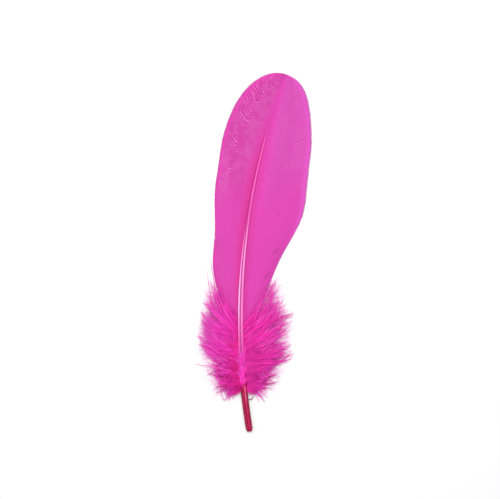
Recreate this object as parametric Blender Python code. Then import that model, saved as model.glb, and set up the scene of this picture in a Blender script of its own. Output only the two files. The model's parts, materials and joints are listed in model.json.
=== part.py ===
"""Goose quill feather, lying with its grooved underside up.

The feather grew as one piece: a shaft (bare quill, then a grooved and tapering rachis), a vane on
each side of it and loose down above the quill. All of it is one solid, goose_feather.

Distances run s along the shaft from the quill's end and d across it, to the right of it when
positive. The feather lies along +Y with its tip at +Y, and its lowest points are at Z = 0.
"""

import math

import bmesh
import bpy
import numpy as np

MM = 0.001

# Whole feather
CHORD = 179.0 * MM
BOW = 12.0 * MM
RADIUS = CHORD**2 / (8 * BOW) + BOW / 2
LENGTH = 2 * RADIUS * math.asin(CHORD / (2 * RADIUS))

# Shaft
QUILL_WIDTH = 3.5 * MM
QUILL_LENGTH = 18.0 * MM
SHAFT_TIP_WIDTH = 0.35 * MM
SHAFT_TAPER = 0.9
BLUNT_LENGTH = 2.4 * MM
END_FLAT_WIDTH = 1.6 * MM
SHAFT_ARCH = 2.4 * MM
GROOVE_START = 26.0 * MM
GROOVE_END = 118.0 * MM
GROOVE_DEPTH_SHARE = 0.2
SHAFT_SHORT_OF_TIP = 0.4 * MM
SHAFT_SIDES = 12
BLUNT_STATIONS = 5
SHAFT_STATIONS = 36

# Vanes: outline points (s, d) of the lower part of each edge, then a rounded top to the tip
RIGHT_EDGE = (
    (46, 4.0), (60, 9.1), (75, 14.4), (90, 19.3), (103, 24.4),
    (112, 26.9), (119, 27.35), (130, 26.4), (140, 25.3), (150, 24.0),
)
LEFT_EDGE = ((42, 4.0), (60, 8.9), (82, 14.9), (99, 15.7), (119, 18.9), (130, 19.6), (142, 20.7))
TIP_ROUNDING = 0.3 * MM
RIGHT_TOP_POWERS = (1.05, 0.37)
LEFT_TOP_POWERS = (2.6, 0.52)
VANE_START = 40.0 * MM
VANE_THICKNESS = 0.3 * MM
VANE_CROWN = 0.5 * MM
VANE_ROOT_SHARE = 0.08
VANE_OVERLAP = 0.15 * MM
LAST_BARB = 1.6 * MM
BARB_LINES = 54
POINTS_ON_BARB = 6
BARB_LEAD = 1.72
BARB_LEAVING = 0.55
RIDGE_HEIGHT = 0.12 * MM
EDGE_TEETH = 0.35 * MM
RIGHT_SPLITS = {12: 0.93, 17: 0.95}
LEFT_SPLITS = {27: 0.95, 14: 0.94}

# Down
LOCKS_PER_SIDE = 30
DOWN_START = 22.0 * MM
DOWN_END = 60.0 * MM
RIGHT_DOWN_REACH = 24.0 * MM
LEFT_DOWN_REACH = 20.0 * MM
LOCK_WIDTH = 2.6 * MM
LOCK_THICKNESS = 0.8 * MM
LOCK_STATIONS = 5
LOCK_FULLNESS = 2.5
LOCK_END_SHARE = 0.14
LOCK_LENGTHS = (0.74, 1.06)
LOCK_SHORTEST_AT_QUILL = 0.4
LOCK_FULL_LENGTH_ALONG = 0.45
LOCK_LEAVING_AT_QUILL = 103.0
LOCK_LEAVING_AT_VANE = 34.0
LOCK_LEAVING_SPREAD = (-12.0, 12.0)
LOCK_BENDS = (-30.0, -6.0)
LOCK_ROOTS_APART = 0.5
LOCK_LOW = 0.4 * MM
LOCK_LAYER = 2.0 * MM
LOCK_LOFT_UNDER = 0.16 * MM
LOCK_LOFT = 1.6 * MM
LOCK_CLEARANCE = 0.05 * MM

DYED_VANE_PINK = (0.79, 0.085, 0.49, 1.0)


def plan(s, d):
    """Plan point at s along the shaft and d to its right. The shaft is a round arc whose chord
    is the Y axis and whose bow is towards -X, so its centre is on the right."""
    turn = (s - LENGTH / 2) / RADIUS
    x = (RADIUS - BOW) - (RADIUS - d) * np.cos(turn)
    y = CHORD / 2 + (RADIUS - d) * np.sin(turn)
    return x, y


def shaft_width(s):
    """Full width on the quill, then a taper to the tip, rounded off at the blunt end."""
    along = np.clip((s - QUILL_LENGTH) / (LENGTH - QUILL_LENGTH), 0, 1)
    width = SHAFT_TIP_WIDTH + (QUILL_WIDTH - SHAFT_TIP_WIDTH) * (1 - along) ** SHAFT_TAPER
    end = np.clip(1 - s / BLUNT_LENGTH, 0, 1)
    return width - (QUILL_WIDTH - END_FLAT_WIDTH) * (1 - np.sqrt(1 - end**2))


def shaft_middle(s):
    """Height of the shaft's middle: half the quill's width at the quill, raised along a low arch
    by the vanes, and half the tip's width above the surface at the tip."""
    along = np.clip((s - QUILL_LENGTH) / (LENGTH - QUILL_LENGTH), 0, 1)
    straight = QUILL_WIDTH + (SHAFT_TIP_WIDTH - QUILL_WIDTH) * along
    return straight / 2 + SHAFT_ARCH * np.sin(math.pi * along**0.8)


def smooth_through(points, s):
    """Smooth curve through (s, d) points in mm: cubic pieces with the slopes of their neighbours."""
    knots, values = np.array(points, float).T * MM
    slopes = np.gradient(values, knots)
    piece = np.clip(np.searchsorted(knots, s) - 1, 0, len(knots) - 2)
    span = knots[piece + 1] - knots[piece]
    t = np.clip((s - knots[piece]) / span, 0, 1)
    ahead = t * t * (3 - 2 * t)
    leaving = t * (1 - t) ** 2 * span * slopes[piece]
    arriving = t * t * (t - 1) * span * slopes[piece + 1]
    return values[piece] * (1 - ahead) + values[piece + 1] * ahead + leaving + arriving


def vane_edge(s, points, top_powers):
    """Distance from the shaft to the vane's edge. Past the last point the edge rounds over to
    the tip as (1 - x^a)^b."""
    last, reach = points[-1][0] * MM, points[-1][1] * MM
    over = np.clip((s - last) / (LENGTH + TIP_ROUNDING - last), 0, 1)
    rounded = reach * (1 - over ** top_powers[0]) ** top_powers[1] + VANE_OVERLAP
    return np.where(s > last, rounded, smooth_through(points, s))


def new_object(name, bm):
    mesh = bpy.data.meshes.new(name)
    bm.to_mesh(mesh)
    bm.free()
    piece = bpy.data.objects.new(name, mesh)
    bpy.context.scene.collection.objects.link(piece)
    return piece


def skin(name, rings):
    """Closed mesh through a stack of rings of points, with a flat cap on both ends."""
    bm = bmesh.new()
    loops = [[bm.verts.new(point) for point in ring] for ring in rings]
    for low, high in zip(loops, loops[1:]):
        for i in range(len(low)):
            j = (i + 1) % len(low)
            bm.faces.new((low[i], low[j], high[j], high[i]))
    bm.faces.new(loops[0])
    bm.faces.new(loops[-1])
    bmesh.ops.recalc_face_normals(bm, faces=bm.faces)
    return new_object(name, bm)


def make_shaft():
    """Round quill that turns into a rachis with two ridges and a groove along its top."""
    blunt = BLUNT_LENGTH * (1 - np.cos(np.linspace(0, math.pi / 2, BLUNT_STATIONS)))
    rest = np.linspace(BLUNT_LENGTH, LENGTH - SHAFT_SHORT_OF_TIP, SHAFT_STATIONS)
    top_first = np.arange(SHAFT_SIDES) * 2 * math.pi / SHAFT_SIDES + math.pi / 2
    rings = []
    for s in np.concatenate([blunt, rest[1:]]):
        half = shaft_width(s) / 2
        grooved = np.clip((s - GROOVE_START) / (GROOVE_END - GROOVE_START), 0, 1)
        height = half * np.sin(top_first)
        height[0] -= 2 * half * GROOVE_DEPTH_SHARE * math.sin(math.pi * grooved) ** 0.5
        x, y = plan(s, half * np.cos(top_first))
        rings.append(np.stack([x, y, shaft_middle(s) + height], axis=1))
    return skin("shaft", rings)


def make_vane(name, side, edge_points, top_powers, splits):
    """Sheet of barbs side by side. Each barb leaves the shaft, leads towards the tip as it goes
    out, falls to the surface at its end, and every second one stands a little proud."""
    first_tip = edge_points[0][0] * MM
    bm = bmesh.new()
    bmesh.ops.create_grid(bm, x_segments=BARB_LINES - 1, y_segments=POINTS_ON_BARB - 1, size=1)
    bm.verts.ensure_lookup_table()
    place = np.array([(vert.co.x, vert.co.y) for vert in bm.verts])
    line = np.round((place[:, 0] + 1) / 2 * (BARB_LINES - 1)).astype(int)
    out = (place[:, 1] + 1) / 2
    t = line / (BARB_LINES - 1)

    root = VANE_START + (LENGTH - LAST_BARB - VANE_START) * t
    tip = first_tip + (LENGTH + TIP_ROUNDING - first_tip) * (1 - (1 - t) ** BARB_LEAD)
    proud = np.where(line % 2 == 0, 1.0, -1.0)
    share = np.array([splits.get(k, 1.0) for k in line])
    q = out * share
    lead = BARB_LEAVING * q + (1 - BARB_LEAVING) * q**2
    s = root + (tip - root) * lead
    reach = vane_edge(tip, edge_points, top_powers) + proud * EDGE_TEETH * (1 - t**4)
    d = side * (reach * q - VANE_OVERLAP * (1 - q))
    at_shaft = shaft_middle(root) - shaft_width(root) * (0.5 - VANE_ROOT_SHARE)
    height = at_shaft * (1 - q**2) + VANE_CROWN * 4 * q * (1 - q) * np.sin(math.pi * t) ** 0.5
    height = height + proud * RIDGE_HEIGHT * np.sin(math.pi * out)
    x, y = plan(s, d)
    for vert, point in zip(bm.verts, np.stack([x, y, height], axis=1)):
        vert.co = point
    bmesh.ops.recalc_face_normals(bm, faces=bm.faces)
    if sum(face.normal.z for face in bm.faces) < 0:
        bmesh.ops.reverse_faces(bm, faces=bm.faces)
    vane = new_object(name, bm)
    sheet = vane.modifiers.new("thickness", "SOLIDIFY")
    sheet.thickness = VANE_THICKNESS
    sheet.offset = 1.0
    return vane


def lock_path(side, along, upper, random):
    """Points (s, d, z) along a lock's middle, and the directions that it runs in, as angles from
    the shaft. It leaves the shaft outwards, bends towards the tip and sinks to its own layer."""
    root = DOWN_START + (DOWN_END - DOWN_START) * along
    reach = RIGHT_DOWN_REACH if side > 0 else LEFT_DOWN_REACH
    up_to_full = min(1, along / LOCK_FULL_LENGTH_ALONG)
    grown = LOCK_SHORTEST_AT_QUILL + (1 - LOCK_SHORTEST_AT_QUILL) * (3 * up_to_full**2 - 2 * up_to_full**3)
    length = reach * grown * random.uniform(*LOCK_LENGTHS)
    leaving = LOCK_LEAVING_AT_QUILL + (LOCK_LEAVING_AT_VANE - LOCK_LEAVING_AT_QUILL) * along**0.8
    leaving += random.uniform(*LOCK_LEAVING_SPREAD)
    bend = random.uniform(*LOCK_BENDS)
    q = np.linspace(0, 1, LOCK_STATIONS + 1)
    angle = np.radians(leaving + bend * q)
    middle = (angle[1:] + angle[:-1]) / 2
    step = length / LOCK_STATIONS
    s = root + np.concatenate([[0], np.cumsum(step * np.cos(middle))])
    d = side * np.concatenate([[0], np.cumsum(step * np.sin(middle))])
    start = shaft_middle(root) + (upper - 0.5) * LOCK_ROOTS_APART * shaft_width(root)
    sunk = q**1.5
    z = start * (1 - sunk) + (LOCK_LOW + upper * LOCK_LAYER) * sunk
    z += (LOCK_LOFT_UNDER + upper * LOCK_LOFT) * 4 * q * (1 - q)
    return s, d, z, angle


def make_lock(name, side, along, upper, random):
    """Tuft of down: a flat lock with a four-sided section, widest near its root and thin at its
    end. along is 0 at the quill and 1 at the vane; upper is 1 for a lock that lies over its
    neighbours and 0 for one that lies under them."""
    s, d, z, angle = lock_path(side, along, upper, random)
    q = np.linspace(0, 1, LOCK_STATIONS + 1)
    full = np.clip(LOCK_FULLNESS * (1 - q) ** 0.6 * (0.23 + q), LOCK_END_SHARE, 1)
    wide = full * LOCK_WIDTH / 2
    thick = full * LOCK_THICKNESS / 2
    z = np.maximum(z, thick + LOCK_CLEARANCE)
    rings = []
    for k in range(LOCK_STATIONS + 1):
        across = np.array([-1, 0, 1, 0]) * wide[k]
        up = np.array([0, -1, 0, 1]) * thick[k]
        x, y = plan(s[k] + across * math.sin(angle[k]), d[k] - side * across * math.cos(angle[k]))
        rings.append(np.stack([x, y, z[k] + up], axis=1))
    return skin(name, rings)


def dyed_material():
    material = bpy.data.materials.new("dyed_feather")
    material.use_nodes = True
    shader = material.node_tree.nodes["Principled BSDF"]
    shader.inputs["Base Color"].default_value = DYED_VANE_PINK
    shader.inputs["Roughness"].default_value = 0.55
    shader.inputs["Metallic"].default_value = 0.0
    return material


def hide_as_guide(piece, collection):
    for holder in piece.users_collection:
        holder.objects.unlink(piece)
    collection.objects.link(piece)
    piece.hide_render = True
    piece.display_type = "WIRE"


def centre_on_footprint(feather, guides):
    """Moves the feather and its guides so that the middle of its footprint is the origin."""
    bpy.context.view_layer.update()
    solid = feather.evaluated_get(bpy.context.evaluated_depsgraph_get())
    corners = np.array([corner[:] for corner in solid.bound_box])
    middle = (corners.min(axis=0) + corners.max(axis=0)) / 2
    for piece in [feather, *guides]:
        piece.location = (-middle[0], -middle[1], -corners[:, 2].min())


def make_feather():
    guides = bpy.data.collections.new("grown_onto_the_shaft")
    bpy.context.scene.collection.children.link(guides)
    feather = make_shaft()
    feather.name = "goose_feather"
    grown = [
        make_vane("right_vane", 1, RIGHT_EDGE, RIGHT_TOP_POWERS, RIGHT_SPLITS),
        make_vane("left_vane", -1, LEFT_EDGE, LEFT_TOP_POWERS, LEFT_SPLITS),
    ]
    random = np.random.default_rng(12)
    for i in range(LOCKS_PER_SIDE):
        for side in (1, -1):
            along = (i + 0.25 * side) / (LOCKS_PER_SIDE - 1)
            upper = (i + (side > 0)) % 2
            grown.append(make_lock(f"lock_{len(grown)}", side, max(0, along), upper, random))
    for piece in grown:
        hide_as_guide(piece, guides)
    union = feather.modifiers.new("grown_together", "BOOLEAN")
    union.operation = "UNION"
    union.solver = "EXACT"
    union.operand_type = "COLLECTION"
    union.collection = guides
    feather.data.materials.append(dyed_material())
    feather.data.shade_smooth()
    feather.data.set_sharp_from_angle(angle=math.radians(40))
    centre_on_footprint(feather, grown)


for old in list(bpy.data.objects):
    bpy.data.objects.remove(old, do_unlink=True)
make_feather()
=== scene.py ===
import json
import math

import bpy
import numpy as np
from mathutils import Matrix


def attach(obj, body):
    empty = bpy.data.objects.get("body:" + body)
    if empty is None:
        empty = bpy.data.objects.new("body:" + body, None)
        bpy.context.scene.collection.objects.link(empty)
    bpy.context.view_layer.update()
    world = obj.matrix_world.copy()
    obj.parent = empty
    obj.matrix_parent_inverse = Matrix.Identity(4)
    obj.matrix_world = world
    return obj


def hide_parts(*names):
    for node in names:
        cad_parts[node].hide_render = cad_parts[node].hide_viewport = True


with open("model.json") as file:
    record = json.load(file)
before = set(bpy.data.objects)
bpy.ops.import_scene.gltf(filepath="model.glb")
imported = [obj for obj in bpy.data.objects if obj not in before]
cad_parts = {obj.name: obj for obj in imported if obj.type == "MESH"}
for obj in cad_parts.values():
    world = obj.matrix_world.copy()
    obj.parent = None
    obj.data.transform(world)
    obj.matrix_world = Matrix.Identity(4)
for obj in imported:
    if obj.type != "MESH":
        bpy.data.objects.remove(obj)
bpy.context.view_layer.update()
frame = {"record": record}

# ==== The shaft ==================================================================================
# The horn tube that carries the feather: a bare, glossy quill, which turns into the rachis with a
# groove between two ridges along its uppermost side. It tapers to a hair at the feather's tip.
MM = 0.001
CHORD = 179.0 * MM
BOW = 12.0 * MM
RADIUS = CHORD**2 / (8 * BOW) + BOW / 2
LENGTH = 2 * RADIUS * math.asin(CHORD / (2 * RADIUS))
QUILL_WIDTH = 3.5 * MM
QUILL_LENGTH = 18.0 * MM
SHAFT_TIP_WIDTH = 0.35 * MM
SHAFT_SHORT_OF_TIP = 0.3 * MM
SHAFT_TAPER = 0.9
SHAFT_ARCH = 2.4 * MM
SHAFT_ARCH_POWER = 0.8
SHAFT_STATIONS = 300
SHAFT_SIDES = 40
BLUNT_LENGTH = 2.4 * MM
BLUNT_STATIONS = 12
END_FLAT_WIDTH = 1.6 * MM
GROOVE_START = 26.0 * MM
GROOVE_END = 118.0 * MM
GROOVE_DEPTH = 0.26
GROOVE_WIDTH = 0.15
GROOVE_FADE = 0.4
RACHIS_SQUARENESS = 0.82
RACHIS_START = 20.0 * MM
RACHIS_EASING = 20.0 * MM

mounts = {mount["name"]: mount for mount in frame["record"]["mounts"]}
quill_end = np.array(mounts["quill_end"]["pos_m"]) - [0, 0, QUILL_WIDTH / 2]


def place(s, d, z):
    """Point at s along the shaft, d to its right and z up. The shaft's plan is a round arc with
    its centre on the right, so the point turns about that centre at the radius less d."""
    turn = (s - LENGTH / 2) / RADIUS
    x = (RADIUS - BOW) - (RADIUS - d) * np.cos(turn)
    y = CHORD / 2 + (RADIUS - d) * np.sin(turn)
    return np.stack(np.broadcast_arrays(x, y, z), axis=-1) + quill_end


def shaft_width(s):
    """Full width on the quill, then (1 - along)^taper down to the tip, and a quarter circle off
    the blunt end."""
    along = np.clip((s - QUILL_LENGTH) / (LENGTH - QUILL_LENGTH), 0, 1)
    width = SHAFT_TIP_WIDTH + (QUILL_WIDTH - SHAFT_TIP_WIDTH) * (1 - along) ** SHAFT_TAPER
    end = np.clip(1 - s / BLUNT_LENGTH, 0, 1)
    return width - (QUILL_WIDTH - END_FLAT_WIDTH) * (1 - np.sqrt(1 - end**2))


def shaft_middle(s):
    """Height of the shaft's middle: half of a width that falls evenly to the tip, and a sine arch
    under the vanes, leant towards the quill by a power of the way along."""
    along = np.clip((s - QUILL_LENGTH) / (LENGTH - QUILL_LENGTH), 0, 1)
    width = QUILL_WIDTH + (SHAFT_TIP_WIDTH - QUILL_WIDTH) * along
    return width / 2 + SHAFT_ARCH * np.sin(math.pi * along**SHAFT_ARCH_POWER)


def unit(vectors):
    """Each vector divided by its own length."""
    return vectors / np.maximum(np.linalg.norm(vectors, axis=-1, keepdims=True), 1e-12)


def eased(x):
    """Smooth step from 0 to 1: 3x^2 - 2x^3 of x held between 0 and 1."""
    x = np.clip(x, 0, 1)
    return x * x * (3 - 2 * x)


def grown_piece(name, points, faces, grown, tone, finish, smooth=True):
    """A piece from whole arrays, which rides on the feather. grown holds each point's place as the
    feather grew, outwards from the root and along the shaft, and tone its own lightness."""
    corners = np.concatenate([face.ravel() for face in faces]).astype(np.int32)
    sizes = np.concatenate([np.full(len(face), face.shape[1]) for face in faces])
    starts = np.concatenate([[0], np.cumsum(sizes)[:-1]]).astype(np.int32)
    mesh = bpy.data.meshes.new(name)
    mesh.vertices.add(len(points))
    mesh.vertices.foreach_set("co", points.astype(np.float32).ravel())
    mesh.loops.add(len(corners))
    mesh.polygons.add(len(sizes))
    mesh.polygons.foreach_set("loop_start", starts)
    mesh.polygons.foreach_set("vertices", corners)
    mesh.update(calc_edges=True)
    layer = mesh.uv_layers.new(name="grown")
    layer.uv.foreach_set("vector", grown[corners].astype(np.float32).ravel())
    mesh.attributes.new("tone", "FLOAT", "POINT").data.foreach_set("value", tone.astype(np.float32))
    if smooth:
        mesh.shade_smooth()
    mesh.materials.append(finish)
    piece = bpy.data.objects.new(name, mesh)
    bpy.context.scene.collection.objects.link(piece)
    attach(piece, "root")
    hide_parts("goose_feather")


def carried(middle, up, wide, thick, section):
    """A closed section carried along many paths at once. middle is (paths, stations, 3). Each
    section point stands at middle + across * wide * x + up * thick * y, where across is square to
    the path and to up. Returns the points, and the faces of the sides and of both ends."""
    paths, stations, _ = middle.shape
    ahead = unit(np.gradient(middle, axis=1))
    up = unit(up - ahead * np.sum(up * ahead, axis=-1, keepdims=True))
    across = np.cross(up, ahead)
    x, y = section[..., 0, None], section[..., 1, None]
    points = middle[:, :, None] + across[:, :, None] * wide[..., None, None] * x
    points = points + up[:, :, None] * thick[..., None, None] * y
    count = section.shape[-2]
    index = np.arange(paths * stations * count).reshape(paths, stations, count)
    onward = np.roll(index, -1, axis=2)
    sides = np.stack([index[:, :-1], onward[:, :-1], onward[:, 1:], index[:, 1:]], axis=-1)
    return points.reshape(-1, 3), [sides.reshape(-1, 4), index[:, 0, ::-1], index[:, -1]]


def spread(values, count):
    """One value for each station of each path, repeated for the points of its section."""
    return np.repeat(values.reshape(-1), count)


class Wire:
    """A node's output in a shader sum: each operator adds one Math node."""

    def __init__(self, finish, socket):
        self.finish = finish
        self.socket = socket

    def math(self, operation, *values):
        """A Math node on the values, which hold this wire too, in the operation's own order."""
        node = self.finish.add("Math", {"operation": operation}, dict(enumerate(values)))
        return Wire(self.finish, node.outputs[0])

    def __add__(self, other):
        return self.math("ADD", self, other)

    def __sub__(self, other):
        return self.math("SUBTRACT", self, other)

    def __rsub__(self, other):
        return self.math("SUBTRACT", other, self)

    def __mul__(self, other):
        return self.math("MULTIPLY", self, other)

    def __truediv__(self, other):
        return self.math("DIVIDE", self, other)

    def __pow__(self, other):
        return self.math("POWER", self, other)

    def __abs__(self):
        return self.math("ABSOLUTE", self)

    __radd__ = __add__
    __rmul__ = __mul__

    def step(self, low, high):
        """0 below low and 1 above high, eased between. From 1 to 0 if low is above high."""
        settings = {"interpolation_type": "SMOOTHSTEP"}
        sockets = {"Value": self, "From Min": low, "From Max": high}
        return Wire(self.finish, self.finish.add("MapRange", settings, sockets).outputs[0])


class Finish:
    """A material and its nodes around one Principled shader."""

    def __init__(self, name):
        self.material = bpy.data.materials.new(name)
        self.material.use_nodes = True
        self.tree = self.material.node_tree
        self.shader = self.tree.nodes["Principled BSDF"]

    def add(self, kind, settings=(), sockets=()):
        """Adds a node: its settings first, then the value of each socket or the link to it."""
        node = self.tree.nodes.new("ShaderNode" + kind)
        for name, value in dict(settings).items():
            setattr(node, name, value)
        self.set(node, sockets)
        return node

    def set(self, node, sockets):
        """Gives each socket its value, or links it to a wire."""
        for name, value in dict(sockets).items():
            if isinstance(value, Wire):
                self.tree.links.new(value.socket, node.inputs[name])
            else:
                node.inputs[name].default_value = value

    def grown(self):
        """The place as the feather grew: outwards from the root, and along the shaft."""
        uv = self.add("UVMap", {"uv_map": "grown"})
        parts = self.add("SeparateXYZ", {}, {0: Wire(self, uv.outputs[0])})
        return Wire(self, parts.outputs[0]), Wire(self, parts.outputs[1])

    def tone(self):
        """The lightness that a piece's own points carry."""
        return Wire(self, self.add("Attribute", {"attribute_name": "tone"}).outputs["Fac"])

    def noise(self, scale, detail, stretch=(1, 1, 1)):
        """Noise in the piece's own coordinates, finer along an axis with more stretch. Scale is
        in waves to the metre."""
        here = Wire(self, self.add("TexCoord").outputs["Object"])
        placed = Wire(self, self.add("Mapping", {}, {0: here, "Scale": stretch}).outputs[0])
        node = self.add("TexNoise", {}, {"Vector": placed, "Scale": scale, "Detail": detail})
        return Wire(self, node.outputs[0])

    def mixed(self, share, low, high):
        """Colour between low, at share 0, and high, at share 1."""
        node = self.add("Mix", {"data_type": "RGBA"}, {0: share, 6: low, 7: high})
        return Wire(self, node.outputs[2])

    def lit(self, colour, amount):
        """The colour made lighter or darker by a number that varies."""
        grey = Wire(self, self.add("CombineXYZ", {}, {0: amount, 1: amount, 2: amount}).outputs[0])
        node = self.add("VectorMath", {"operation": "MULTIPLY"}, {0: colour, 1: grey})
        return Wire(self, node.outputs[0])

    def bump(self, height, distance, strength):
        """Fine relief: the surface shaded as if raised by height times distance."""
        node = self.add("Bump", {}, {"Height": height, "Distance": distance, "Strength": strength})
        self.set(self.shader, {"Normal": Wire(self, node.outputs[0])})


def dye(red, green, blue):
    """Colour as a screen holds it, 0 to 255, turned into the light that the shader works in."""
    seen = np.array([red, green, blue]) / 255
    light = np.where(seen <= 0.04045, seen / 12.92, ((seen + 0.055) / 1.055) ** 2.4)
    return (*(float(value) for value in light), 1.0)


def horn_finish():
    """Crimson glossy horn on the quill, with a painted highlight along it, a fainter one beside it,
    and painted shade along both its edges. On the rachis the ridges are pale pink, partly as
    painted highlight, with brighter painted highlights on them; the groove, the flanks and the left
    half of the upper rachis carry painted shade. tone is how deep in the groove a point lies.
    Across runs from -1 on the right flank to 1 on the left as the feather lies. The gloss fades up
    the rachis."""
    horn = Finish("dyed_horn")
    across, along = horn.grown()
    streaks = horn.noise(260, 4.0, (5, 1, 5))
    # Pale pink rachis, partly its own colour and partly painted highlight; then painted highlights on
    # the left ridge lower down and on the right ridge higher up.
    ridges = horn.mixed(along.step(0.22, 0.32), dye(226, 84, 172), dye(250, 130, 206))
    left_painted_highlight = across.step(0.3, 0.5) * along.step(0.28, 0.34) * along.step(0.46, 0.38)
    right_painted_highlight = across.step(-0.2, -0.4) * across.step(-0.98, -0.8)
    right_painted_highlight = right_painted_highlight * along.step(0.38, 0.44) * along.step(0.6, 0.5)
    ridges = horn.mixed(left_painted_highlight, ridges, dye(255, 178, 236))
    ridges = horn.mixed(right_painted_highlight, ridges, dye(255, 156, 222))
    ridges = horn.mixed(along.step(0.5, 0.64), ridges, dye(230, 92, 182))
    # Painted shade: the left flank, the upper part of the right flank and the left half of the upper
    # rachis darker.
    shaded_flanks = horn.mixed(across.step(0.75, 0.98), ridges, dye(190, 40, 124))
    shaded_flanks = horn.mixed(across.step(-0.8, -0.98) * along.step(0.36, 0.42), shaded_flanks, dye(222, 76, 164))
    shaded_flanks = horn.mixed(along.step(0.46, 0.6) * across.step(-0.15, 0.25), shaded_flanks, dye(190, 40, 132))
    # Painted shade in the groove, deepest where tone is highest.
    shaded_groove = horn.mixed(horn.tone(), shaded_flanks, dye(150, 34, 112))
    fibre = across + 0.5 * (streaks - 0.5)
    quill = horn.mixed(streaks.step(0.4, 0.7), dye(138, 4, 48), dye(156, 14, 66))
    # Painted highlight along the quill right of its middle, a fainter one left of it, and painted shade
    # along both its edges.
    quill_painted_highlight = horn.mixed(along.step(0.07, 0.1), dye(178, 30, 84), dye(214, 86, 132))
    quill = horn.mixed(fibre.step(0.0, -0.12) * fibre.step(-0.55, -0.4), quill, quill_painted_highlight)
    quill = horn.mixed(fibre.step(0.35, 0.45) * fibre.step(0.66, 0.54), quill, dye(174, 38, 86))
    quill = horn.mixed(abs(across).step(0.8, 0.98), quill, dye(118, 6, 44))
    both = horn.mixed(along.step(0.13, 0.22), quill, shaded_groove)
    thin = horn.mixed(along.step(0.78, 0.86), both, dye(206, 60, 164))
    horn.set(horn.shader, {
        "Base Color": horn.lit(thin, 0.86 + 0.28 * streaks),
        "Roughness": 0.18 + 0.1 * streaks + 0.4 * along.step(0.3, 0.6),
        "Specular IOR Level": 0.25,
    })
    horn.bump(streaks, 0.1 * MM, 0.5)
    return horn.material


def make_shaft():
    """Stations along the shaft, each a section (|cos|^a, |sin|^a), where a is 1 on the round quill
    and less on the squarer rachis. Its top has a dip in the shape of a bell curve, whose depth
    along the groove is a power of a half sine."""
    blunt = BLUNT_LENGTH * (1 - np.cos(np.linspace(0, math.pi / 2, BLUNT_STATIONS)))
    onward = np.linspace(BLUNT_LENGTH, LENGTH - SHAFT_SHORT_OF_TIP, SHAFT_STATIONS)[1:]
    s = np.concatenate([blunt, onward])
    half = shaft_width(s) / 2
    angle = np.arange(SHAFT_SIDES) * 2 * math.pi / SHAFT_SIDES
    square = 1 - (1 - RACHIS_SQUARENESS) * eased((s - RACHIS_START) / RACHIS_EASING)[:, None]
    x = np.sign(np.cos(angle)) * np.abs(np.cos(angle)) ** square
    y = np.sign(np.sin(angle)) * np.abs(np.sin(angle)) ** square
    groove = np.clip((s - GROOVE_START) / (GROOVE_END - GROOVE_START), 0, 1)
    deep = np.sin(math.pi * groove) ** GROOVE_FADE
    dip = deep[:, None] * np.exp(-((x / (2 * GROOVE_WIDTH)) ** 2)) * (np.sin(angle) > 0)
    section = np.stack([x, y - 2 * GROOVE_DEPTH * dip], axis=-1)[None]
    middle = place(s, 0 * s, shaft_middle(s))[None]
    up = np.zeros_like(middle) + [0, 0, 1]
    points, faces = carried(middle, up, half[None], half[None], section)
    grown = np.stack([x.ravel(), spread(s / LENGTH, SHAFT_SIDES)], axis=-1)
    # The groove's dip goes on as tone, which the horn finish turns into painted shade.
    grown_piece("shaft", points, faces, grown, dip.ravel(), horn_finish())


make_shaft()

# ==== The vanes ==================================================================================
# Flat blades on both sides of the shaft, each of some three hundred barbs that hook into one
# another: flat strands that lap like tiles, lead towards the tip and end on the vane's edge.
BARBS = 300
BARB_STATIONS = 27
VANE_START = 40.0 * MM
LAST_BARB = 1.6 * MM
TIP_ROUNDING = 0.3 * MM
BARB_LEAD = 1.72
BARB_LEAVING = 0.55
BARB_LAP = 0.58
BARB_THICKNESS = 0.07 * MM
BARB_RAGGEDNESS = 0.007
BARB_POINT = 0.035
BARB_POINT_NARROWING = 0.75
BARB_TONE_SPREAD = 0.012
VANE_CROWN = 0.5 * MM
VANE_LIFT = 0.12 * MM
VANE_WANDER = 0.16 * MM
VANE_TONE_WANDER = 0.015
VANE_LOWEST = 0.01 * MM
VANE_ROOT_SHARE = 0.12
VANE_ROOT_INSIDE = 0.25
VANE_ROOT_LIFT = 0.15 * MM
GAP_SPREAD = 0.02
GAP_SHADE = 0.3
GAP_SHADE_BARBS = 1.2
SPECK_BARBS = 0.8
SPECK_STATIONS = 0.7
LINES_RISE = 1.6
LINES_ROUNDING = 5.0
LINES_VANE_WIDTH = 19.0
LINES_LOWEST_OUT = 0.62
LINES_SWIRL = 5.0
LINES_OUTWARDS = 0.36
RIGHT_EDGE = (
    (46, 4.0), (60, 9.1), (75, 14.4), (90, 19.3), (103, 24.4),
    (112, 26.9), (119, 27.35), (130, 26.4), (140, 25.3), (150, 24.0),
)
LEFT_EDGE = ((42, 4.0), (60, 8.9), (82, 14.9), (99, 15.7), (119, 18.9), (130, 19.6), (142, 20.7))
RIGHT_ROUNDING = (1.05, 0.37)
LEFT_ROUNDING = (2.6, 0.52)
BARB_SECTION = np.array([
    (-1.0, 0.2), (-0.1, -0.5), (1.0, -0.2), (0.45, 0.7), (0.0, 1.0), (-0.4, 0.75),
])
WANDER_SINES = 7
WANDER_HEIGHT = 3


def smooth_through(points, s):
    """Smooth curve through (s, d) points in mm: between two points the cubic that has their
    values, and the slopes of the lines through their neighbours."""
    knots, values = np.array(points, float).T * MM
    slopes = np.gradient(values, knots)
    piece = np.clip(np.searchsorted(knots, s) - 1, 0, len(knots) - 2)
    span = knots[piece + 1] - knots[piece]
    t = np.clip((s - knots[piece]) / span, 0, 1)
    leaving = t * (1 - t) ** 2 * span * slopes[piece]
    arriving = t * t * (t - 1) * span * slopes[piece + 1]
    return values[piece] * (1 - eased(t)) + values[piece + 1] * eased(t) + leaving + arriving


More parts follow.
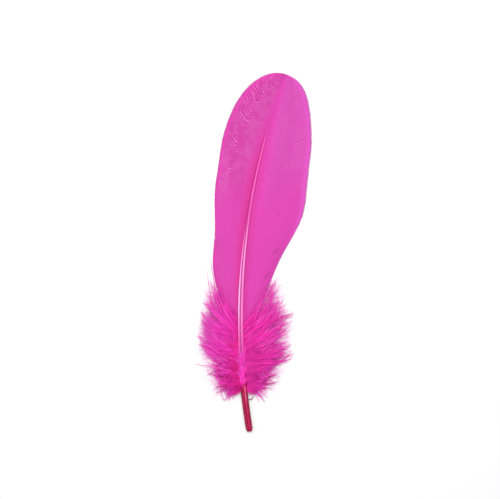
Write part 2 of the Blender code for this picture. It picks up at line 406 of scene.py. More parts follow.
def vane_edge(s, points, rounding):
    """Distance from the shaft to the vane's edge: the smooth curve to its last point, then
    (1 - x^a)^b of the reach there, x of the way over to the tip, with a and b from rounding."""
    last, reach = points[-1][0] * MM, points[-1][1] * MM
    over = np.clip((s - last) / (LENGTH + TIP_ROUNDING - last), 0, 1)
    top = reach * (1 - over ** rounding[0]) ** rounding[1]
    return np.where(s > last, top, smooth_through(points, s))


def wander(random, waves, *at):
    """Smooth random field, mostly within -1 to 1: a sum of sines of random direction and phase,
    with up to waves of them to each coordinate's unit."""
    total = 0
    for _ in range(WANDER_SINES):
        phase = random.uniform(0, 2 * math.pi)
        turned = sum(2 * math.pi * random.uniform(-waves, waves) * x for x in at)
        total = total + np.sin(phase + turned)
    return total / WANDER_HEIGHT


def vane_finish(name, beside, middle, rim, shade, share_beside, lines):
    """Satin dyed barbs: a deeper pink beside the shaft, painted shade in the valley there, one over
    the blade, a paler one on the rim, and a greyer one over the upper blade. Fine pale lines of
    painted sheen, with painted shade between them, stand for the light on the rippled barbules
    there: sin(2 pi n) for a count n: barb_lines over the length of the vane, and curved_lines to a
    mm of y along the chord, less a hyperbola's rise 1.6 sqrt(5 + u^2) at u mm from the line of the
    lowest points. A slow swirl is added to n. The lines go from faint to clear up the vane and
    outwards."""
    satin = Finish(name)
    out, along = satin.grown()
    patches = satin.noise(45, 3.0)
    grains = satin.noise(1300, 1.0)
    # Painted shade: deeper pink beside the shaft, in the valley where the vane meets it.
    blade = satin.mixed(out.step(share_beside, 0.0) * along.step(0.92, 0.62), middle, beside)
    upper = along.step(0.4, 0.62) * out.step(0.1, 0.35) * (0.3 + 0.9 * patches)
    blade = satin.mixed(upper, blade, shade)
    blade = satin.mixed(out.step(0.84, 0.97), blade, rim)

    # Painted sheen and shade: fine pale lines mixed towards near white, with the same wave darkening
    # the blade between them.
    depth, barb_lines, curved_lines, faint, clear = lines
    here = satin.add("SeparateXYZ", {}, {0: Wire(satin, satin.add("TexCoord").outputs["Object"])})
    height = Wire(satin, here.outputs[1]) / MM
    aside = LINES_VANE_WIDTH * (out - LINES_LOWEST_OUT)
    rise = LINES_RISE * (LINES_ROUNDING + aside * aside) ** 0.5
    count = barb_lines * along + curved_lines * (height - rise)
    phase = 2 * math.pi * (count + LINES_SWIRL * satin.noise(130, 2.0))
    wave = phase.math("SINE", phase)
    shown = out.step(0.1, 0.3) * out.step(1.05, 0.8)
    shown = shown * (along + LINES_OUTWARDS * out).step(faint, clear)
    shown = shown * along.step(1.06, 0.9) * (0.3 + satin.noise(300, 1.0).step(0.35, 0.6))
    blade = satin.mixed(depth * shown * (0.5 + 0.5 * wave), blade, dye(255, 200, 255))
    lightness = satin.tone() * (0.94 + 0.08 * patches + 0.06 * grains + depth * shown * wave)
    satin.set(satin.shader, {
        "Base Color": satin.lit(blade, lightness),
        "Roughness": 0.5 + 0.12 * patches,
        "Specular IOR Level": 0.12,
    })
    return satin.material


def make_vane(name, side, edge, rounding, gaps, specks, finish, seed):
    """Each barb's path: root on the shaft, tip on the vane's edge, and between them the lead
    towards the tip grows as a x + (1 - a) x^2 of the way out x. Height falls as 1 - x^2 from the
    shaft to the surface, plus a crown, and a slow wander in the middle of the barbs. Barbs part
    at gaps (barb, from, to, width in mm), which close again unless they run to 1, the edge, and
    the barbs beside each gap are darkened as painted shade in the slit. Specks (barb, way out,
    dark) darken the barbs as marks of their own."""
    random = np.random.default_rng(seed)
    t = np.linspace(0, 1, BARBS)[:, None]
    ragged = 1 - BARB_RAGGEDNESS * np.abs(random.normal(size=t.shape)) * (1 - t**6)
    q = np.linspace(0, 1, BARB_STATIONS)[None] * ragged
    start = edge[0][0] * MM
    root = VANE_START + (LENGTH - LAST_BARB - VANE_START) * t
    tip = start + (LENGTH + TIP_ROUNDING - start) * (1 - (1 - t) ** BARB_LEAD)
    s = root + (tip - root) * (BARB_LEAVING * q + (1 - BARB_LEAVING) * q**2)
    inside = VANE_ROOT_INSIDE * shaft_width(root)
    d = side * (inside + (vane_edge(tip, edge, rounding) - inside) * q)
    at_shaft = shaft_middle(root) - shaft_width(root) * (0.5 - VANE_ROOT_SHARE) + VANE_ROOT_LIFT
    z = at_shaft * (1 - q**2) + VANE_CROWN * 4 * q * (1 - q) * np.sin(math.pi * t) ** 0.5
    z = z + VANE_WANDER * wander(random, 2.5, t, q) * np.sin(math.pi * q) ** 0.7 + VANE_LIFT
    middle = place(s, d, z)
    between = np.gradient(middle, axis=0)
    ahead = unit(np.gradient(middle, axis=1))
    pitch = np.linalg.norm(np.cross(ahead, between), axis=-1)
    narrow = 1 - BARB_POINT_NARROWING * eased((q - 1 + BARB_POINT) / BARB_POINT)
    wide = BARB_LAP * pitch * narrow

    tone = 1 + BARB_TONE_SPREAD * random.normal(size=t.shape)
    tone = tone + VANE_TONE_WANDER * wander(random, 2.0, t, q)
    for barb, low, high, width in gaps:
        beyond = t - barb
        if high < 1:
            opened = np.sin(math.pi * np.clip((q - low) / (high - low), 0, 1))
        else:
            opened = eased((q - low) / (1 - low))
        near = np.exp(-np.abs(beyond) / GAP_SPREAD) * opened
        s = s + width * MM / 2 * np.sign(beyond) * near
        # Painted shade in the slits: the barbs beside each gap darkened.
        shaded = np.exp(-((beyond * BARBS / GAP_SHADE_BARBS) ** 2))
        tone = tone - GAP_SHADE * opened**0.5 * shaded
    for barb, out, dark in specks:
        past = (t - barb) * BARBS / SPECK_BARBS
        outward = (q - out) * BARB_STATIONS / SPECK_STATIONS
        tone = tone - dark * np.exp(-(past**2) - outward**2)
    middle = place(s, d, z)
    thick = BARB_THICKNESS * (1 - 0.5 * q) + 0 * wide
    up = np.zeros_like(middle) + [0, 0, 1]
    points, faces = carried(middle, up, wide, thick, BARB_SECTION)
    points[:, 2] = np.maximum(points[:, 2], VANE_LOWEST)
    count = len(BARB_SECTION)
    grown = np.stack([spread(q, count), spread(t + 0 * q, count)], axis=-1)
    grown_piece(name, points, faces, grown, spread(tone, count), finish)


right_finish = vane_finish(
    "dyed_vane_right",
    beside=dye(207, 61, 156),
    middle=dye(213, 67, 171),
    rim=dye(219, 84, 191),
    shade=dye(203, 76, 171),
    share_beside=0.22,
    lines=(0.045, 70, 0, 0.7, 0.86),
)
left_finish = vane_finish(
    "dyed_vane_left",
    beside=dye(210, 56, 150),
    middle=dye(209, 68, 168),
    rim=dye(214, 63, 168),
    shade=dye(195, 54, 152),
    share_beside=0.3,
    lines=(0.09, 0, 0.7, 0.6, 0.76),
)
right_gaps = (
    (0.276, 0.54, 0.72, 0.05),
    (0.193, 0.57, 0.8, 0.05),
    (0.134, 0.6, 1.0, 0.7),
    (0.09, 0.5, 1.0, 0.8),
)
left_gaps = ((0.25, 0.74, 1.0, 0.5), (0.13, 0.55, 1.0, 0.7))
right_specks = ((0.42, 0.551, 0.5), (0.428, 0.733, 0.15))
make_vane("right_vane", 1, RIGHT_EDGE, RIGHT_ROUNDING, right_gaps, right_specks, right_finish, 5)
make_vane("left_vane", -1, LEFT_EDGE, LEFT_ROUNDING, left_gaps, (), left_finish, 6)

# ==== The felted bed of the down =================================================================
# Down close to the surface on both sides of the lower rachis. Its short soft barbs lie side by
# side, and their barbules mat them into a felt that the looser strands lie on.
DOWN_START = 21.5 * MM
DOWN_END = 62.0 * MM
DOWN_STATIONS = 12
DOWN_LOWEST = 0.02 * MM
ROOT_INSIDE = 0.3
RIGHT_REACH = 21.5 * MM
LEFT_REACH = 17.0 * MM
REACH_AT_QUILL = 0.36
FULL_REACH_FROM = 0.45
LEAVING_AT_QUILL, LEAVING_AT_VANE = 100, 34  # degrees, as all angles of the down
LEAVING_POWER = 0.85
BEND_AT_QUILL, BEND_AT_VANE = -20, -10
FELT_WEBS = 80
FELT_START = DOWN_START + 6.5 * MM
FELT_SHARE = 0.92
FELT_LENGTHS = (0.75, 1.08)
FELT_WAVE = 7
FELT_FALL = 1.6
FELT_LIFT = 0.35 * MM
FELT_DOME = 1.3 * MM
FELT_UNEVENNESS = 0.1 * MM
FELT_LAP = 0.9
FELT_LEAST_PITCH = 0.25 * MM
FELT_POINT = 0.15
FELT_POINT_NARROWING = 0.9
FELT_THICKNESS = 0.12 * MM
FELT_TONE, FELT_TONE_SPREAD = 0.97, 0.05
WEB_SECTION = np.array([
    (-1.0, -0.1), (0.0, -0.6), (1.0, -0.1), (0.12, 0.35), (0.0, 1.0), (-0.12, 0.35),
])


def down_finish(name, deep, middle, pale):
    """Soft dyed strands: deep at the root, partly their own colour and partly painted shade where
    the down crowds beside the shaft, paler towards the ends, with a pink sheen.
    """
    soft = Finish(name)
    out, _ = soft.grown()
    colour = soft.mixed(out.step(0.0, 0.4), deep, middle)
    colour = soft.mixed(out.step(0.5, 1.0), colour, pale)
    soft.set(soft.shader, {
        "Base Color": soft.lit(colour, soft.tone()),
        "Roughness": 0.7,
        "Specular IOR Level": 0.12,
        "Sheen Weight": 0.5,
        "Sheen Roughness": 0.4,
        "Sheen Tint": dye(255, 40, 170),
    })
    return soft.material


def strand_paths(root, length, leaving, bend, wave):
    """Paths in the feather's plane: each starts outwards at leaving degrees from the shaft, turns
    by bend towards its end, and is summed step by step. Returns s and d, which start inside the
    shaft."""
    q = np.linspace(0, 1, DOWN_STATIONS)[None]
    angle = np.radians(leaving[:, None] + bend[:, None] * q + wave)
    step = length[:, None] / (DOWN_STATIONS - 1)
    s = root[:, None] + np.cumsum(step * np.cos(angle), axis=1) - step * np.cos(angle[:, :1])
    d = np.cumsum(step * np.sin(angle), axis=1) - step * np.sin(angle[:, :1])
    return s, d + ROOT_INSIDE * shaft_width(root)[:, None]


def strand_growth(root, side):
    """Length, leaving angle and bend of an average strand by its root: short and square to the
    shaft above the quill, long and steep where the down passes into the vane."""
    upness = np.clip((root - DOWN_START) / (DOWN_END - DOWN_START), 0, 1)
    longest = RIGHT_REACH if side > 0 else LEFT_REACH
    reach = longest * (REACH_AT_QUILL + (1 - REACH_AT_QUILL) * eased(upness / FULL_REACH_FROM))
    leaving = LEAVING_AT_QUILL + (LEAVING_AT_VANE - LEAVING_AT_QUILL) * upness**LEAVING_POWER
    return reach, leaving, BEND_AT_QUILL + (BEND_AT_VANE - BEND_AT_QUILL) * upness


def make_felt(name, side, high, finish, seed):
    """Short webs side by side, from the quill's down to high along the shaft. They lap like the
    barbs of a vane, each as wide as the pitch of their paths. Height falls as 1 - x^1.6 from the
    shaft to the surface, under a dome of 4 x (1 - x)."""
    random = np.random.default_rng(seed)
    root = np.linspace(FELT_START, high, FELT_WEBS)
    length, leaving, bend = strand_growth(root, side)
    q = np.linspace(0, 1, DOWN_STATIONS)[None]
    t = np.linspace(0, 1, FELT_WEBS)[:, None]
    wave = FELT_WAVE * q * wander(random, 2, q, t * 2)
    length = FELT_SHARE * length * random.uniform(*FELT_LENGTHS, FELT_WEBS)
    s, d = strand_paths(root, length, leaving, bend, wave)
    z = shaft_middle(root)[:, None] * (1 - q**FELT_FALL) + FELT_LIFT + FELT_DOME * 4 * q * (1 - q)
    z = z + FELT_UNEVENNESS * random.normal(size=(FELT_WEBS, 1)) * eased(q / 0.3)
    middle = place(s, side * d, z)
    ahead = unit(np.gradient(middle, axis=1))
    pitch = np.linalg.norm(np.cross(ahead, np.gradient(middle, axis=0)), axis=-1)
    narrow = 1 - FELT_POINT_NARROWING * eased((q - 1 + FELT_POINT) / FELT_POINT)
    wide = FELT_LAP * np.maximum(pitch, FELT_LEAST_PITCH) * narrow
    up = np.zeros_like(middle) + [0, 0, 1]
    points, faces = carried(middle, up, wide, FELT_THICKNESS + 0 * wide, WEB_SECTION)
    points[:, 2] = np.maximum(points[:, 2], DOWN_LOWEST)
    count = len(WEB_SECTION)
    grown = np.stack([spread(q + 0 * wide, count), spread(t + 0 * wide, count)], axis=-1)
    tone = FELT_TONE + FELT_TONE_SPREAD * random.normal(size=(FELT_WEBS, 1, count))
    tone = tone + np.zeros((1, DOWN_STATIONS, 1))
    grown_piece(name, points, faces, grown, tone.ravel(), finish, smooth=False)


# The felt's middle is a little deeper than its root: painted shade for the gaps between the strands
# above it.
felted = down_finish("dyed_felt", dye(251, 50, 174), dye(251, 44, 168), dye(254, 66, 198))
make_felt("right_felt", 1, 48 * MM, felted, 41)
make_felt("left_felt", -1, 54 * MM, felted, 42)

# ==== The down ===================================================================================
# Loose soft barbs above the quill, in tufts on both sides. Each has a narrow web and two rows of
# fine long barbules that don't hook, so the strands brush apart, curl and clump.
TUFTS = 21
TUFT_STRANDS = 12
DOWN_ROWS = 18
DOWN_WEB = 0.55 * MM
DOWN_NEEDLE = 5.0 * MM
DOWN_FREE = 20.0 * MM
DOWN_LIMIT = 25.0 * MM
DOWN_HIGHEST = 5.85 * MM
DOWN_CLEAR_OF_FLOOR = 0.15 * MM
DOWN_CLEAR_OF_TOP = 5.4 * MM
TUFT_WIDTH = 0.8
TUFT_LENGTHS = (0.55, 1.35)
TUFT_TURN, TUFT_TURN_MORE_LOW = 9, 12
TUFT_BEND = 14
TUFT_WAVE = 9
TUFT_TONE_SPREAD = 0.05
STRAND_LENGTHS = (0.55, 1.05)
STRAND_FAN = 9
STRAND_CLOSING = 1.6
STRAND_BEND = 7
STRAND_WAVE = 8
STRAND_TONE_SPREAD = 0.08
STRAND_FALL = 1.6
LAYER_SPREAD = 0.2
LAYER_LOW, LAYER_RISE = 0.3, 1.0  # mm
ARCH_LOW, ARCH_RISE = 1.3, 0.7  # mm
HEIGHT_WANDER = 0.3 * MM
WEB_THICKNESS = 0.07 * MM
WEB_LEAST_WIDTH = 0.02 * MM
NEEDLE_POINTS = 7
NEEDLE_FOOT = 0.04 * MM
NEEDLE_KNEE = 0.03 * MM
NEEDLE_SLANT, NEEDLE_SLANT_SPREAD, NEEDLE_SLANT_FALL = 24, 8, 12
NEEDLE_TURNS = (-0.1, 0.8)
NEEDLE_TWIST = (0.08, 0.2)
NEEDLE_TONE_SPREAD = 0.1
WEB_TONE, WEB_TONE_SPREAD = 1.12, 0.05


def drawn_in(points):
    """The strands' ends brushed in at both sides: a distance x past the free width f becomes
    f + (l - f) tanh((x - f) / (l - f)), so that nothing passes the limit l."""
    room = DOWN_LIMIT - DOWN_FREE
    past = np.maximum(np.abs(points[:, 0]) - DOWN_FREE, 0)
    points[:, 0] -= np.sign(points[:, 0]) * (past - room * np.tanh(past / room))
    points[:, 2] = np.clip(points[:, 2], DOWN_LOWEST, DOWN_HIGHEST)
    return points


def along_paths(values, at):
    """Values (paths, stations, ...) read at a share of the way, at (paths, places), by straight
    steps between stations."""
    stations = values.shape[1]
    where = np.clip(at * (stations - 1), 0, stations - 1.0001)
    low = where.astype(int)
    rest = where - low
    path = np.arange(values.shape[0])[:, None]
    if values.ndim == 3:
        rest = rest[..., None]
    return values[path, low] * (1 - rest) + values[path, low + 1] * rest


def make_strands(name, middle, along, tone, rows, hair, web, finish, random):
    """Webs along the paths in middle, with the stem as a rib. They widen to web over the first
    third and narrow as (1 - x)^0.6 to the end. On each stand two rows of barbules: needles with
    one bend that leave the stem at a slant and turn along it. They are longest at mid stem, where
    they measure from 0.3 to 1.3 of hair."""
    strands, stations, _ = middle.shape
    q = np.linspace(0, 1, stations)[None]
    up = np.zeros_like(middle) + [0, 0, 1]
    wide = web / 2 * np.minimum(1, 0.35 + 2.2 * q) * (1 - q) ** 0.6
    wide = wide + WEB_LEAST_WIDTH + 0 * middle[..., 0]
    thick = WEB_THICKNESS * (1 - 0.7 * q) + 0 * wide
    count = len(WEB_SECTION)
    stem_points, stem_faces = carried(middle, up, wide, thick, WEB_SECTION)
    stem_along = spread(along[:, None] + 0 * q, count)
    stem_grown = np.stack([spread(q + 0 * wide, count), stem_along], axis=-1)

    at = 0.04 + 0.96 * (np.arange(rows) + random.random((strands, 2, rows))) / rows
    at = at.reshape(strands, -1)
    hand = np.repeat([1.0, -1.0], rows)[None]
    foot = along_paths(middle, at)
    ahead = unit(along_paths(np.gradient(middle, axis=1), at))
    across = unit(np.cross([0, 0, 1.0], ahead))
    twist = random.normal(*NEEDLE_TWIST, at.shape)[..., None]
    outward = across * hand[..., None] * np.cos(twist) + np.array([0, 0, 1.0]) * np.sin(twist)
    slant = random.normal(NEEDLE_SLANT, NEEDLE_SLANT_SPREAD, at.shape) - NEEDLE_SLANT_FALL * at
    slant = np.radians(slant)[..., None]
    size = hair * (0.45 + 0.55 * np.sin(math.pi * (0.15 + 0.65 * at)))
    size = (size * random.uniform(0.4, 1.2, at.shape) ** 1.3)[..., None]
    first = unit(ahead * np.cos(slant) + outward * np.sin(slant))
    later = slant * random.uniform(*NEEDLE_TURNS, slant.shape)
    second = unit(ahead * np.cos(later) + outward * np.sin(later) - [0, 0, 0.1])
    knee = foot + first * size * 0.5
    end = knee + second * size * 0.5
    side_way = unit(np.cross(first, [0, 0, 1.0]))
    third = unit(np.cross(side_way, first))
    ring = np.stack([-side_way - 0.1 * third, side_way - 0.1 * third, 0.15 * third], axis=-2)
    points = np.concatenate([
        foot[..., None, :] + ring * NEEDLE_FOOT,
        knee[..., None, :] + ring * NEEDLE_KNEE,
        end[..., None, :],
    ], axis=-2)
    base = np.arange(at.size)[:, None, None] * NEEDLE_POINTS + len(stem_points)
    quads = base + np.array([(0, 1, 4, 3), (1, 2, 5, 4), (2, 0, 3, 5)])
    ends = base + np.array([(3, 4, 6), (4, 5, 6), (5, 3, 6), (2, 1, 0)])

    needle_along = (along[:, None] + 0 * at).ravel()
    grown = np.repeat(np.stack([at.ravel(), needle_along], axis=-1), NEEDLE_POINTS, axis=0)
    needle_tone = (tone[:, None] * random.normal(1.0, NEEDLE_TONE_SPREAD, at.shape)).ravel()
    streaks = random.normal(0, WEB_TONE_SPREAD, (strands, 1, count))
    web_tone = (WEB_TONE * tone[:, None, None] + np.tile(streaks, (1, stations, 1))).ravel()
    grown_piece(
        name,
        drawn_in(np.concatenate([stem_points, points.reshape(-1, 3)])),
        [*stem_faces, quads.reshape(-1, 4), ends.reshape(-1, 3)],
        np.concatenate([stem_grown, grown]),
        np.concatenate([web_tone, np.repeat(needle_tone, NEEDLE_POINTS)]),
        finish,
        smooth=False,
    )


def make_down(name, side, low, high, thinning, finish, seed):
    """Tufts of strands from low to high along the shaft. The strands of a tuft fan out from the
    shaft and bend back together at their ends, and the tufts lie in layers over one another.
    Roots stand at the share along^thinning of the way, so above 1 they thin out upwards. Height
    passes from the shaft's to the layer's own, under an arch of 4 x (1 - x)."""
    random = np.random.default_rng(seed)
    strands = TUFTS * TUFT_STRANDS
    tuft = np.repeat(np.arange(TUFTS), TUFT_STRANDS)
    along = (tuft + 0.5 + TUFT_WIDTH * (random.random(strands) - 0.5)) / TUFTS
    root = low + (high - low) * along**thinning
    length, leaving, bend = strand_growth(root, side)
    length = length * random.uniform(*STRAND_LENGTHS, strands)
    length = length * random.uniform(*TUFT_LENGTHS, TUFTS)[tuft]
    lowness = 1 - np.clip((root - DOWN_START) / (DOWN_END - DOWN_START), 0, 1)
    fanned = random.normal(0, STRAND_FAN, strands)
    turned = (TUFT_TURN + TUFT_TURN_MORE_LOW * lowness**2) * random.normal(0, 1, TUFTS)[tuft]
    leaving = leaving + turned + fanned
    bend = bend + random.normal(0, TUFT_BEND, TUFTS)[tuft] - STRAND_CLOSING * fanned
    bend = bend + random.normal(0, STRAND_BEND, strands)
    q = np.linspace(0, 1, DOWN_STATIONS)[None]
    wave = TUFT_WAVE * wander(random, 1.2, q, 3.1 * tuft[:, None])
    wave = wave + STRAND_WAVE * q * wander(random, 2.2, q, np.arange(strands)[:, None] * 1.7)
    s, d = strand_paths(root, length, leaving, bend, wave)
    layer = random.random(TUFTS)[tuft] + random.normal(0, LAYER_SPREAD, strands)
    layer = np.clip(layer, 0, 1)[:, None]
    at_shaft = shaft_middle(root)[:, None] + (layer - 0.4) * 0.5 * shaft_width(root)[:, None]
    z = at_shaft * (1 - q**STRAND_FALL) + (LAYER_LOW + LAYER_RISE * layer) * MM * q**1.4
    z = z + (ARCH_LOW + ARCH_RISE * layer) * MM * 4 * q * (1 - q)
    z = z + HEIGHT_WANDER * wander(random, 2, q, layer * 9) * q
    z = np.clip(z, DOWN_CLEAR_OF_FLOOR, DOWN_CLEAR_OF_TOP)
    tone = 1 + TUFT_TONE_SPREAD * random.normal(size=TUFTS)[tuft]
    tone = tone + STRAND_TONE_SPREAD * random.normal(size=strands)
    middle = place(s, side * d, z)
    make_strands(
        name, middle, along, tone, DOWN_ROWS, DOWN_NEEDLE, DOWN_WEB, finish, random
    )


warm_down = down_finish("dyed_down_warm", dye(252, 66, 190), dye(254, 57, 190), dye(255, 78, 208))
deep_down = down_finish("dyed_down_deep", dye(250, 38, 150), dye(253, 54, 187), dye(255, 84, 212))
light_down = down_finish("dyed_down_light", dye(251, 52, 170), dye(254, 67, 206), dye(255, 94, 224))
make_down("right_down_low", 1, 21.5 * MM, 38 * MM, 1.0, warm_down, 91)
make_down("right_down_high", 1, 37 * MM, 51.5 * MM, 1.5, warm_down, 92)
make_down("left_down_low", -1, 21.5 * MM, 38 * MM, 1.0, deep_down, 93)
make_down("left_down_high", -1, 37 * MM, 56 * MM, 1.5, light_down, 94)

# ==== The wisps ==================================================================================
# Single barbules of the down, longer and finer than the rest. They have come loose at one end and
# curl up and out in all its outer parts and past its rim.
WISPS = 900
WISP_STATIONS = 7
WISP_WIDTH = 0.055 * MM
WISP_LENGTHS = (4, 11)
WISP_SHARES = (0.35, 0.95)
WISP_TURN = 22
WISP_CURL = (-8, 38)
WISP_WAVE = 14
WISP_TONE = (1.04, 0.08)
WISPS_END = DOWN_END - 6 * MM
WISP_LOWEST = 0.06 * MM
WISP_HIGHEST = 5.5 * MM
WISP_SECTION = np.array([(-1.0, -0.3), (1.0, -0.3), (0.0, 0.6)])


def make_wisps(name, side, finish, seed):
    """Hairs of three sides that thin to their ends. Each starts some way out along the path of an
    average strand, leaves it at an angle of its own, and curls: the angle grows evenly with the
    way, plus a slow wander, and the path is summed step by step."""
    random = np.random.default_rng(seed)
    along = (np.arange(WISPS) + random.random(WISPS)) / WISPS
    root = DOWN_START + (WISPS_END - DOWN_START) * along
    reach, leaving, bend = strand_growth(root, side)
    share = random.uniform(*WISP_SHARES, WISPS) ** 0.7
    flat = np.zeros((1, DOWN_STATIONS))
    start_s, start_d = strand_paths(root, reach * share, leaving, bend * share, flat)
    q = np.linspace(0, 1, WISP_STATIONS)[None]
    heading = leaving + bend * share + random.normal(0, WISP_TURN, WISPS)
    curl = random.normal(*WISP_CURL, WISPS)
    wave = WISP_WAVE * wander(random, 2, q, np.arange(WISPS)[:, None] * 1.7)
    angle = np.radians(heading[:, None] + curl[:, None] * q + wave)
    step = random.uniform(*WISP_LENGTHS, (WISPS, 1)) * MM / (WISP_STATIONS - 1)
    s = start_s[:, -1:] + np.cumsum(step * np.cos(angle), axis=1)
    d = start_d[:, -1:] + np.cumsum(step * np.sin(angle), axis=1)
    z = (1.4 - share[:, None]) * 3 * MM * random.uniform(0.5, 1.2, (WISPS, 1))
    z = z + random.uniform(-0.6, 1.0, (WISPS, 1)) * MM * q
    z = z + HEIGHT_WANDER * wander(random, 2, q, along[:, None] * 40)
    z = np.clip(z, WISP_LOWEST, WISP_HIGHEST)
    middle = place(s, side * d, z)
    up = np.zeros_like(middle) + [0, 0, 1]
    wide = WISP_WIDTH * (1 - 0.8 * q) + 0 * z
    points, faces = carried(middle, up, wide, wide, WISP_SECTION)
    count = len(WISP_SECTION)
    out = spread(0.55 + 0.45 * q + 0 * z, count)
    grown = np.stack([out, spread(along[:, None] + 0 * z, count)], axis=-1)
    tone = spread(random.normal(*WISP_TONE, (WISPS, 1)) + 0 * z, count)
    grown_piece(name, drawn_in(points), faces, grown, tone, finish, smooth=False)


make_wisps("right_wisps", 1, light_down, 51)
make_wisps("left_wisps", -1, light_down, 52)

# ==== The single strands =========================================================================
# Barbs that have come out of their tuft or of the vane's edge. They lie over the shaft and the
# rest of the down, tangle low in it, and hang over the quill. The dark red ones low in the down
# are painted shadow, set where its gaps lie in shade.
STRAY_ROWS = 24
STRAY_NEEDLE_PER_WEB = 3.3
STRAY_WAVE = 7
STRAY_ABOVE_SHAFT = 0.52
STRAY_DROP_LENGTH = 1.5 * MM
STRAY_SLOPE = 0.1
STRAY_TONE, STRAY_TONE_SPREAD = 1.02, 0.06


def make_strays(name, count, growth, lift, drop, web, finish, seed):
    """Strands that lie over the rest: over the shaft's top where they start near it, and otherwise
    over the down, or lower by drop over the vane. growth holds, as (lowest, highest), the root in
    mm along the shaft, the start in shares of its width, the leaving angle and the bend in
    degrees, and the length in mm. The path is summed step by step."""
    random = np.random.default_rng(seed)
    roots, start, leaving, bend, length = growth
    side = np.where(np.arange(count) % 2 == 0, 1.0, -1.0)[:, None]
    along = (np.arange(count) + random.random(count)) / count
    root = (roots[0] + (roots[1] - roots[0]) * along) * MM
    q = np.linspace(0, 1, DOWN_STATIONS)[None]
    angle = random.uniform(*leaving, (count, 1)) + random.uniform(*bend, (count, 1)) * q
    wave = STRAY_WAVE * wander(random, 1.5, q, np.arange(count)[:, None] * 1.7)
    angle = np.radians(angle + wave)
    step = random.uniform(*length, (count, 1)) * MM / (DOWN_STATIONS - 1)
    s = root[:, None] + np.cumsum(step * np.cos(angle), axis=1)
    d = np.cumsum(step * np.sin(angle), axis=1)
    d = d + random.uniform(*start, (count, 1)) * shaft_width(root)[:, None]
    beyond = np.maximum(0, np.abs(d) - ROOT_INSIDE * shaft_width(s))
    z = shaft_middle(s) + STRAY_ABOVE_SHAFT * shaft_width(s)
    z = z + lift * random.uniform(0.3, 1.0, (count, 1)) * q**0.5
    z = z - drop * (1 - np.exp(-beyond / STRAY_DROP_LENGTH)) - STRAY_SLOPE * beyond
    tone = STRAY_TONE + STRAY_TONE_SPREAD * random.normal(size=count)
    middle = place(s, side * d, z)
    hair = STRAY_NEEDLE_PER_WEB * web
    make_strands(name, middle, along, tone, STRAY_ROWS, hair, web, finish, random)


def make_courses(name, courses, web, hair, finish, seed):
    """Single strands, each along a smooth curve through its own points (s, d, z) in mm, with the
    lightness that goes with them."""
    random = np.random.default_rng(seed)
    paths = []
    for points, _ in courses:
        s, d, z = np.array(points, float).T
        walk = np.concatenate([[0], np.cumsum(np.hypot(np.diff(s), np.diff(d)))])
        even = np.linspace(0, walk[-1], DOWN_STATIONS) * MM
        s, d, z = (smooth_through(np.stack([walk, way], axis=1), even) for way in (s, d, z))
        paths.append(place(s, d, z))
    tone = np.array([lightness for _, lightness in courses])
    along = np.linspace(0, 1, len(courses))
    middle = np.stack(paths)
    make_strands(name, middle, along, tone, STRAY_ROWS, hair, web, finish, random)


pale = down_finish("dyed_pale_strands", dye(250, 66, 184), dye(255, 86, 208), dye(255, 100, 220))
# Colour of the painted shadow strands: dark red that deepens the shade in the down.
painted_shadow_colour = down_finish("painted_shadow_strand_finish", dye(170, 8, 84), dye(186, 18, 112), dye(214, 36, 150))
loose = down_finish("dyed_loose_barbs", dye(228, 56, 166), dye(238, 70, 188), dye(248, 86, 204))

over = ((21, 33), (-0.5, 0.6), (-70, 50), (-50, 40), (6, 13))
hanging = ((24, 27), (0.4, 0.9), (126, 160), (-22, 18), (5, 13))
tangled = ((24, 38), (0.4, 3.2), (40, 150), (-90, 70), (5, 12))
shaded = ((23, 38), (0.5, 2.8), (50, 130), (-70, 60), (5, 10))
steep = ((30, 52), (0.3, 0.6), (38, 84), (-34, 4), (14, 25))
upright = ((42, 58), (0.6, 1.2), (18, 42), (-14, 4), (13, 28))
make_strays("strands_over_the_shaft", 34, over, 0.7 * MM, 0.6 * MM, 0.8 * MM, light_down, 31)
make_strays("hanging_strands", 30, hanging, 0.3 * MM, 1.4 * MM, 0.4 * MM, light_down, 35)
make_strays("tangled_strands", 50, tangled, 1.0 * MM, 0.3 * MM, 0.4 * MM, light_down, 36)
# Painted shadow: dark red strands low in the down, where its gaps lie in shade.
make_strays("painted_shadow_strands", 34, shaded, 0.9 * MM, 0.4 * MM, 0.5 * MM, painted_shadow_colour, 38)
make_strays("pale_strands", 60, steep, 1.2 * MM, 0, 0.5 * MM, pale, 33)
make_strays("loose_barbs", 24, upright, 0.5 * MM, 1.2 * MM, 0.5 * MM, loose, 32)

over_left_vane = (
    (((50, -1.0, 4.4), (55, -7.9, 3.6), (66, -11.6, 2.6), (76, -14.0, 1.6), (86, -16.6, 0.9)), 1.05),
    (((46, -1.0, 4.4), (51.5, -7.9, 4.0), (60, -12.8, 2.8), (69.8, -15.6, 1.6), (80, -17.8, 0.8)), 1.0),
    (((53, -1.0, 4.6), (60, -6.0, 3.8), (70, -10.2, 2.8), (79, -13.0, 1.8), (84, -14.4, 1.4)), 1.02),
)
along_right_vane = (
    (((49, 1.0, 4.4), (52.5, 7.0, 4.2), (60.3, 2.9, 4.2), (65.4, 2.1, 4.3), (70.6, 2.2, 4.2),
      (76.5, 3.9, 3.8)), 1.1),
    (((45.5, 1.0, 4.4), (49, 6.3, 4.6), (54.5, 9.3, 3.9), (64.5, 12.9, 2.5), (71, 13.6, 1.9)), 1.08),
    (((43, 1.0, 4.3), (46.5, 7.0, 4.7), (52, 11.0, 4.0), (60, 14.0, 2.6), (68, 15.0, 1.5)), 1.05),
)
out_to_the_right = (
    (((41, 1.0, 4.3), (43.9, 7.0, 4.6), (45.9, 12.5, 4.0), (47.1, 18.9, 2.2), (47.9, 23.3, 1.2)), 1.08),
    (((44, 1.0, 4.3), (48.6, 8.0, 4.5), (53.1, 14.4, 3.4), (56.5, 19.0, 1.9), (60.0, 22.6, 1.0)), 1.1),
)
courses = over_left_vane + along_right_vane + out_to_the_right
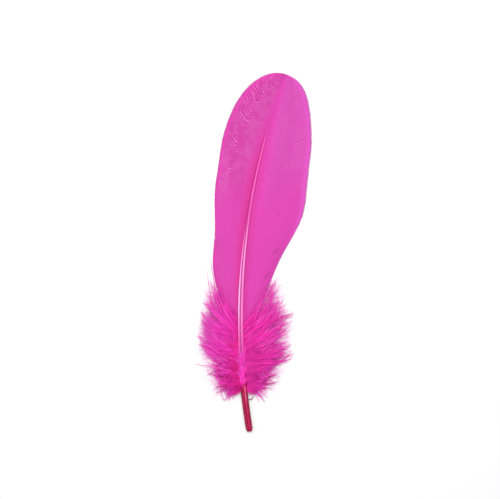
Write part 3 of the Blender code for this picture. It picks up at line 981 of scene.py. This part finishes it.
make_courses("single_strands", courses, 0.5 * MM, 1.65 * MM, loose, 34)

# ==== The dark hair ==============================================================================
# One short loose strand, nearly black, that clings to the quill below the down. It sticks out
# sideways and curls up.
dark_hair = (((15.7, 1.6, 1.8), (15.9, 2.6, 2.1), (16.2, 3.5, 2.3), (17.9, 4.7, 2.8)), 0.2)
make_courses("dark_hair", (dark_hair,), 0.5 * MM, 0.3 * MM, loose, 37)

# ==== The floor, the light and the camera ========================================================
# The feather lies on a plain white floor under soft light from above, and the camera looks
# straight down on it, as the photo does: two pixels to the millimetre, the chord leaning right.
PICTURE_WIDTH = 250.0 * MM
LEAN = math.radians(5.8)
QUILL_END_FROM_MIDDLE = (-0.15 * MM, -90.75 * MM)
LENS, SENSOR = 100.0, 36.0
FLOOR_SIZE = 3.0
FLOOR_BELOW = 0.1 * MM
STUDIO_LIGHT = 0.3

bpy.ops.mesh.primitive_plane_add(size=FLOOR_SIZE, location=(0, 0, -FLOOR_BELOW))
floor = bpy.context.object
floor.name = "floor"
white = Finish("white_floor")
white.set(white.shader, {
    "Base Color": (0.82, 0.82, 0.82, 1),
    "Roughness": 0.9,
    "Specular IOR Level": 0.1,
})
floor.data.materials.append(white.material)

world = bpy.data.worlds.new("studio")
world.use_nodes = True
background = world.node_tree.nodes["Background"]
background.inputs["Color"].default_value = (1, 1, 1, 1)
background.inputs["Strength"].default_value = STUDIO_LIGHT
bpy.context.scene.world = world


def softbox(name, energy, size, position):
    """A square lamp that faces the feather's middle."""
    lamp = bpy.data.lights.new(name, "AREA")
    lamp.size = size
    lamp.energy = energy
    piece = bpy.data.objects.new(name, lamp)
    piece.location = position
    x, y, z = position
    piece.rotation_euler = (0, math.atan2(math.hypot(x, y), z), math.atan2(y, x))
    bpy.context.scene.collection.objects.link(piece)


softbox("key", 6.0, 0.35, (0.0, 0.12, 0.76))
softbox("fill", 0.8, 0.4, (-0.45, 0.1, 0.5))

right = np.array([math.cos(LEAN), math.sin(LEAN), 0])
upward = np.array([-math.sin(LEAN), math.cos(LEAN), 0])
centre = quill_end - right * QUILL_END_FROM_MIDDLE[0] - upward * QUILL_END_FROM_MIDDLE[1]
camera = bpy.data.objects.new("camera", bpy.data.cameras.new("camera"))
camera.data.lens = LENS
camera.data.sensor_width = SENSOR
camera.location = (centre[0], centre[1], PICTURE_WIDTH * LENS / SENSOR)
camera.rotation_euler = (0, 0, LEAN)
bpy.context.scene.collection.objects.link(camera)
bpy.context.scene.camera = camera
bpy.context.scene.view_settings.view_transform = "Standard"
